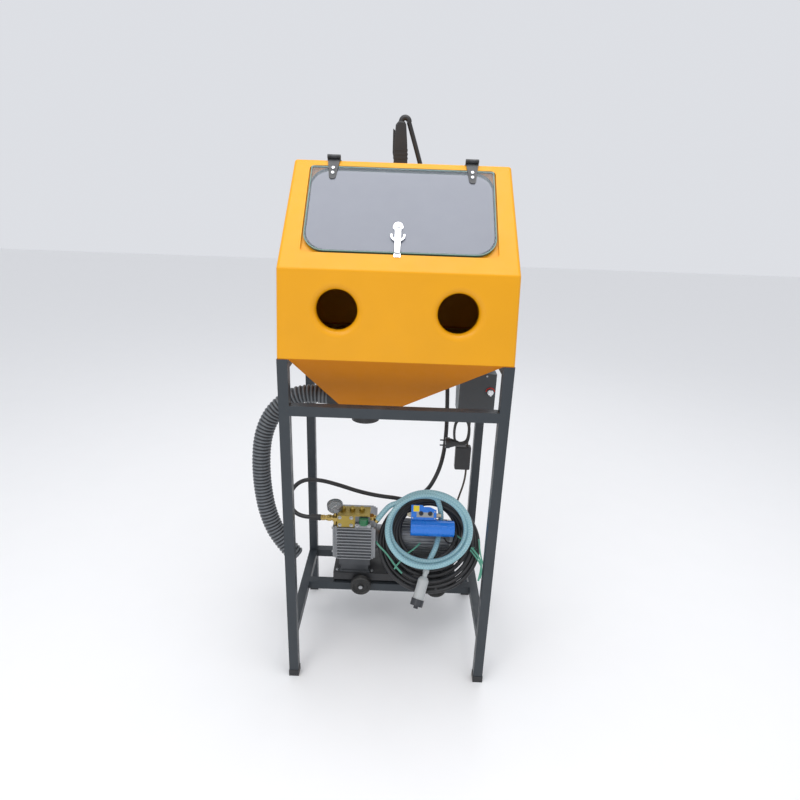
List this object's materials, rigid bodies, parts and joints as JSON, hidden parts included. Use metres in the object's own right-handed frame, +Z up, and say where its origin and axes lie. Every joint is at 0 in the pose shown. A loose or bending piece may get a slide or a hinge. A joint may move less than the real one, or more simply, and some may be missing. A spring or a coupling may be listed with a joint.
{
  "type": "wet blast cabinet",
  "caption": "Blast cabinet with a sloped glass lid and two arm holes over a hopper, on a square-tube stand with a wheeled pump set, hoses and a spray gun.",
  "frame": {"origin": "on the floor, centre of the overall box of the cabinet without its hoses and cords", "axes": "+X to the operator's right, +Y from the operator's side to the back, +Z up"},
  "size_m": [0.8033, 0.5264, 1.7775],
  "materials": {
    "cabinet_yellow": "moulded, semi-gloss",
    "hopper_orange": "moulded, satin",
    "stand_paint": "semi-gloss powder coat",
    "black_plastic": "satin",
    "seal_rubber": "matte",
    "window_glass": "polished",
    "hinge_grey": "satin",
    "chrome": "polished",
    "steel": "satin",
    "box_side": "satin",
    "box_front": "satin",
    "cast_aluminium": "cast, satin",
    "cover_grey": "satin",
    "brass": "satin",
    "cap_green": "gloss",
    "motor_blue": "gloss",
    "gland_cream": "satin",
    "pressure_rubber": "satin",
    "suction_pvc": "gloss, braided",
    "drain_grey": "satin, ribbed",
    "cord_black": "satin",
    "cord_brown": "satin",
    "strainer_grey": "satin",
    "wheel_black": "matte"
  },
  "bodies": {
    "root": {"stand_legs": "stand_paint", "stand_rails": "stand_paint", "foot_caps": "black_plastic", "cabinet_shell": "cabinet_yellow", "work_grate": "steel", "window_seal": "seal_rubber", "hinge_brackets": "black_plastic", "latch_keeper": "chrome", "hopper": "hopper_orange", "drain_fittings": "black_plastic", "drain_hose": "drain_grey", "control_box": "box_side", "control_box_cover": "box_front", "cable_glands": "gland_cream", "mains_hank": "cord_black", "mains_plug": "black_plastic", "power_adapter": "black_plastic", "pump_cord": "cord_brown", "trolley_base": "black_plastic", "axles": "steel", "pump_crankcase": "cast_aluminium", "pump_head": "brass", "oil_cap": "cap_green", "hose_fittings": "brass", "hose_ends": "black_plastic", "mounting_feet": "cast_aluminium", "trolley_bolts": "steel", "gauge_case": "chrome", "gauge_glass": "window_glass", "motor_body": "cast_aluminium", "fan_cover": "cover_grey", "terminal_box": "motor_blue", "capacitor_can": "motor_blue", "capacitor_lead": "cord_black", "pressure_lead": "pressure_rubber", "pressure_coil": "pressure_rubber", "pressure_riser": "pressure_rubber", "suction_lead": "suction_pvc", "suction_coil": "suction_pvc", "suction_tail": "suction_pvc", "strainer_body": "strainer_grey", "strainer_caps": "black_plastic", "gun_body": "black_plastic", "gun_lance": "steel", "gun_holders": "stand_paint"},
    "lid": {"lid_glass": "window_glass", "hinge_straps": "hinge_grey", "lid_screws": "chrome", "latch_base": "chrome"},
    "latch": {"latch_lever": "chrome"},
    "switch": {"switch_knob": "chrome"},
    "needle": {"gauge_needle": "black_plastic"},
    "rotor": {"motor_rotor": "steel"},
    "start": {"start_button": "black_plastic"},
    "stop": {"stop_button": "black_plastic"},
    "trigger": {"gun_trigger": "black_plastic"},
    "wheel_front_left": {"wheel_front_left": "wheel_black"},
    "wheel_front_right": {"wheel_front_right": "wheel_black"},
    "wheel_rear_left": {"wheel_rear_left": "wheel_black"},
    "wheel_rear_right": {"wheel_rear_right": "wheel_black"}
  },
  "joints": [
    {"name": "lid_hinge", "type": "hinge", "parent": "root", "child": "lid", "pos_m": [0, -0.00817, 1.63544], "axis": [-1, 0, 0], "range_deg": [0, 110]},
    {"name": "latch_turn", "type": "hinge", "parent": "lid", "child": "latch", "pos_m": [-0.006, -0.1693, 1.46163], "axis": [0, -0.727, 0.6866], "range_deg": [0, 90]},
    {"name": "switch_turn", "type": "hinge", "parent": "root", "child": "switch", "pos_m": [0.305, -0.02175, 0.952], "axis": [0, -1, 0], "range_deg": [-90, 0]},
    {"name": "needle_turn", "type": "hinge", "parent": "root", "child": "needle", "pos_m": [-0.199, 0.00025, 0.479], "axis": [0, -0.2588, 0.9659], "range_deg": [-270, 0]},
    {"name": "rotor_spin", "type": "hinge", "parent": "root", "child": "rotor", "pos_m": [0.1, 0.08825, 0.33], "axis": [1, 0, 0], "continuous": true},
    {"name": "start_press", "type": "slide", "parent": "root", "child": "start", "axis": [0, 0.866, -0.5], "range_m": [0, 0.003], "stiffness_N_per_m": 200},
    {"name": "stop_press", "type": "slide", "parent": "root", "child": "stop", "axis": [0, 0.866, -0.5], "range_m": [0, 0.003], "stiffness_N_per_m": 200},
    {"name": "trigger_pull", "type": "hinge", "parent": "root", "child": "trigger", "pos_m": [-0.024, 0.23825, 1.612], "axis": [0, 1, 0], "range_deg": [0, 5], "stiffness_Nm_per_rad": 0.5},
    {"name": "wheel_front_left_spin", "type": "hinge", "parent": "root", "child": "wheel_front_left", "pos_m": [-0.104, -0.03325, 0.2], "axis": [0, 1, 0], "continuous": true},
    {"name": "wheel_front_right_spin", "type": "hinge", "parent": "root", "child": "wheel_front_right", "pos_m": [0.17, -0.03325, 0.2], "axis": [0, 1, 0], "continuous": true},
    {"name": "wheel_rear_left_spin", "type": "hinge", "parent": "root", "child": "wheel_rear_left", "pos_m": [-0.104, 0.22975, 0.2], "axis": [0, 1, 0], "continuous": true},
    {"name": "wheel_rear_right_spin", "type": "hinge", "parent": "root", "child": "wheel_rear_right", "pos_m": [0.17, 0.22975, 0.2], "axis": [0, 1, 0], "continuous": true}
  ]
}
